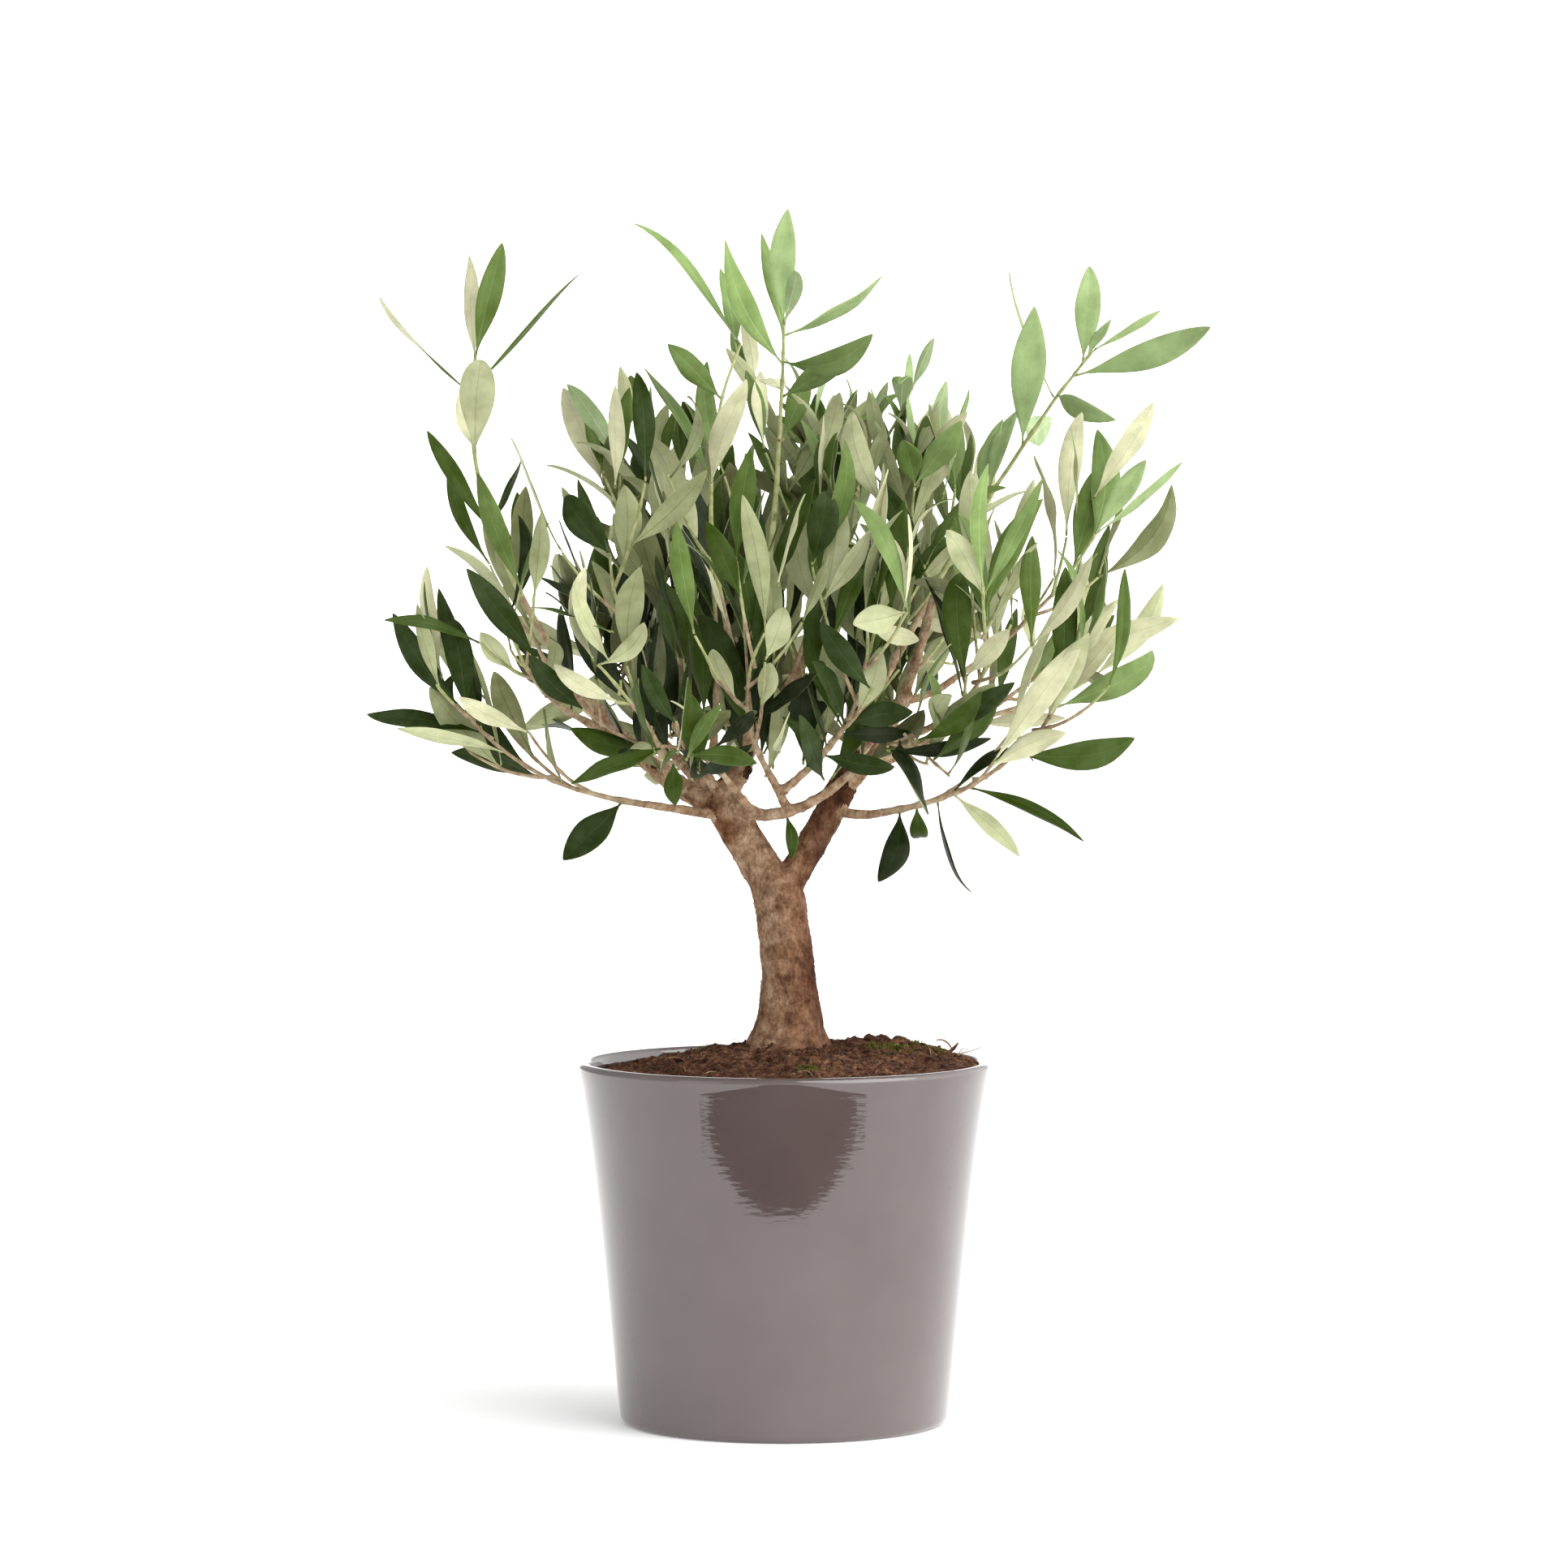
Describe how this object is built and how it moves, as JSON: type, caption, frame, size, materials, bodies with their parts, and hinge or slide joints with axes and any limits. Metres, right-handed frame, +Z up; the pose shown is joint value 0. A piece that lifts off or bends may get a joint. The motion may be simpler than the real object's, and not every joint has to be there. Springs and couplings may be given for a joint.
{
  "type": "potted olive tree",
  "caption": "Young olive tree with a short trunk that forks into two limbs under an open crown of slender leaves, planted in a tapered glazed pot.",
  "frame": {"origin": "centre of the pot's flat underside, where the pot stands", "axes": "+Z up along the pot's axis, -Y towards the side shown in the picture, +X to the right of that view"},
  "size_m": [0.3646, 0.293, 0.529],
  "materials": {
    "glaze": "smooth glossy taupe glaze",
    "soil": "loose dark brown potting soil with fibres and a little moss",
    "bark": "rough grey-brown bark, smoother and tan on the young wood",
    "foliage": "leathery leaves, dark green above and silvery green below, on thin tan twigs"
  },
  "bodies": {
    "root": {"pot": "glaze", "soil": "soil", "trunk": "bark", "limb_left": "bark", "limb_right": "bark", "bough_left": "bark", "bough_centre": "bark", "bough_cross": "bark", "bough_low_left": "bark", "bough_inner_left": "bark", "bough_inner_up": "bark", "bough_back_left": "bark", "bough_front_left": "bark", "bough_left_front": "bark", "bough_left_back": "bark", "bough_mid": "bark", "bough_front_right": "bark", "bough_front_low": "bark", "bough_centre_right": "bark", "bough_centre_left": "bark", "bough_back_centre": "bark", "bough_back_up": "bark", "bough_back_left_up": "bark", "bough_low_right": "bark", "bough_up_right": "bark", "bough_right": "bark", "bough_back_right": "bark", "bough_up_right_out": "bark", "bough_up_right_back": "bark", "bough_right_mid": "bark", "bough_right_front": "bark", "bough_right_out": "bark", "bough_back_low": "bark", "leaves_low_left": "foliage", "leaves_front_left": "foliage", "shoot_top_left": "foliage", "leaves_left_front": "foliage", "leaves_left_back": "foliage", "leaves_upper_left": "foliage", "leaves_upper_mid": "foliage", "shoot_top_centre": "foliage", "leaves_cross": "foliage", "leaves_mid_front": "foliage", "leaves_front_right": "foliage", "leaves_front_low": "foliage", "leaves_low_right": "foliage", "shoot_right_out": "foliage", "leaves_right_front": "foliage", "leaves_right_mid": "foliage", "leaves_up_right": "foliage", "shoot_top_right": "foliage", "leaves_up_right_back": "foliage", "leaves_centre_right": "foliage", "shoot_top_mid": "foliage", "leaves_back_centre": "foliage", "leaves_back_up": "foliage", "leaves_back_left_up": "foliage", "leaves_back_left": "foliage", "leaves_back_right": "foliage", "leaves_back_low": "foliage"}
  },
  "joints": []
}
